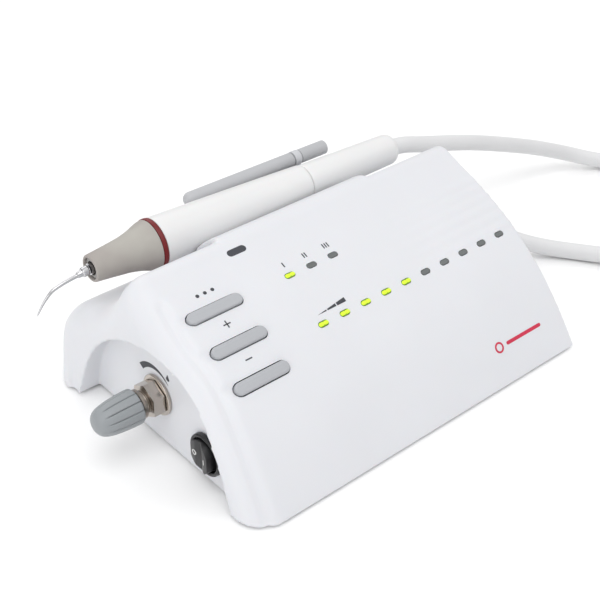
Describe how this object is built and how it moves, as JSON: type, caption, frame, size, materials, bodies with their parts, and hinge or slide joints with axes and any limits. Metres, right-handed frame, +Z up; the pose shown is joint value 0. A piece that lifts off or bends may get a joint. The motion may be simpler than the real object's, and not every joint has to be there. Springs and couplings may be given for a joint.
{
  "type": "ultrasonic scaler",
  "caption": "Desktop dental ultrasonic scaler: wedge-shaped control unit with key panel and water knob, and a corded handpiece in its cradle.",
  "frame": {"origin": "on the table, under the middle of the unit with its handpiece, knob and water inlet; the lead is left out", "axes": "+X along the panel towards the lead, +Y from the sloped panel towards the rear sockets, +Z up"},
  "size_m": [0.3758, 0.1792, 0.0639],
  "materials": {
    "casing": "smooth cool white moulded plastic",
    "handpiece": "smooth white polymer",
    "accent_ring": "dark red gloss",
    "grip": "satin warm grey",
    "lens": "clear",
    "steel": "bright",
    "ceramic": "fired ceramic with plated faces",
    "button": "satin grey keys",
    "circuit_board": "solder mask",
    "ferrite": "matt",
    "aluminium": "satin",
    "black_plastic": "satin black",
    "nickel": "nickel plated",
    "brass": "machined",
    "knob": "satin blue grey",
    "hose": "translucent",
    "rest_arm": "satin grey",
    "foot_rubber": "matt",
    "light_green": "lit indicator window",
    "light_dark": "unlit indicator window",
    "cord": "satin silicone sheath"
  },
  "bodies": {
    "root": {"upper_casing": "casing", "base_plate": "casing", "foot_front_left": "foot_rubber", "base_screw_front_left": "steel", "foot_rear_left": "foot_rubber", "base_screw_rear_left": "steel", "foot_front_right": "foot_rubber", "base_screw_front_right": "steel", "foot_rear_right": "foot_rubber", "base_screw_rear_right": "steel", "mode_light_1": "light_green", "mode_light_2": "light_dark", "mode_light_3": "light_dark", "level_light_1": "light_green", "level_light_2": "light_green", "level_light_3": "light_green", "level_light_4": "light_green", "level_light_5": "light_green", "level_light_6": "light_dark", "level_light_7": "light_dark", "level_light_8": "light_dark", "level_light_9": "light_dark", "level_light_10": "light_dark", "control_board": "circuit_board", "power_board": "circuit_board", "power_transformer": "ferrite", "driver_heat_sink": "aluminium", "power_socket": "black_plastic", "pedal_socket": "black_plastic", "water_inlet": "nickel", "solenoid_valve": "aluminium", "regulator_body": "brass", "regulator_washer": "nickel", "regulator_nut": "nickel", "inlet_hose": "hose", "valve_hose": "hose", "supply_hose": "hose", "switch_frame": "black_plastic", "rest_bracket": "casing", "cord_gland": "cord", "cord_upper": "cord", "cord_lower": "cord", "cord_coil": "cord"},
    "option_button": {"button_option": "button"},
    "plus_button": {"button_plus": "button"},
    "minus_button": {"button_minus": "button"},
    "water_control": {"water_knob": "knob", "regulator_spindle": "steel"},
    "power_rocker": {"switch_rocker": "black_plastic"},
    "rest": {"rest_arm": "rest_arm"},
    "handpiece_tail": {"tail_connector": "handpiece"},
    "handpiece": {"handpiece_sleeve": "handpiece", "accent_ring": "accent_ring", "grip_cone": "grip", "nose_light_ring": "lens", "transducer_horn": "steel", "piezo_stack": "ceramic", "back_mass": "steel"},
    "tip": {"scaler_tip": "steel"}
  },
  "joints": [
    {"name": "option_press", "type": "slide", "parent": "root", "child": "option_button", "axis": [0, 0.4145, -0.91], "range_m": [0, 0.0008], "stiffness_N_per_m": 400, "springref_m": -0.0005},
    {"name": "plus_press", "type": "slide", "parent": "root", "child": "plus_button", "axis": [0, 0.4991, -0.8666], "range_m": [0, 0.0008], "stiffness_N_per_m": 400, "springref_m": -0.0005},
    {"name": "minus_press", "type": "slide", "parent": "root", "child": "minus_button", "axis": [0, 0.6092, -0.793], "range_m": [0, 0.0008], "stiffness_N_per_m": 400, "springref_m": -0.0005},
    {"name": "water_turn", "type": "hinge", "parent": "root", "child": "water_control", "pos_m": [-0.0838, -0.00515, 0.0229], "axis": [-1, 0, 0], "range_deg": [0, 300]},
    {"name": "power_rock", "type": "hinge", "parent": "root", "child": "power_rocker", "pos_m": [-0.0674, -0.03495, 0.0142], "axis": [0, 0, 1], "range_deg": [0, 16]},
    {"name": "rest_swing", "type": "hinge", "parent": "root", "child": "rest", "pos_m": [0.0462, 0.05365, 0.056], "axis": [1, 0, 0], "range_deg": [0, 90]},
    {"name": "handpiece_lift", "type": "slide", "parent": "root", "child": "handpiece_tail", "axis": [0, 0, 1], "range_m": [0, 0.08]},
    {"name": "handpiece_unplug", "type": "slide", "parent": "handpiece_tail", "child": "handpiece", "axis": [-0.9999, 0.009, 0.012], "range_m": [0, 0.02]},
    {"name": "tip_turn", "type": "hinge", "parent": "handpiece", "child": "tip", "pos_m": [-0.0368, 0.04015, 0.05345], "axis": [0.9999, -0.009, -0.012], "range_deg": [0, 360]}
  ]
}
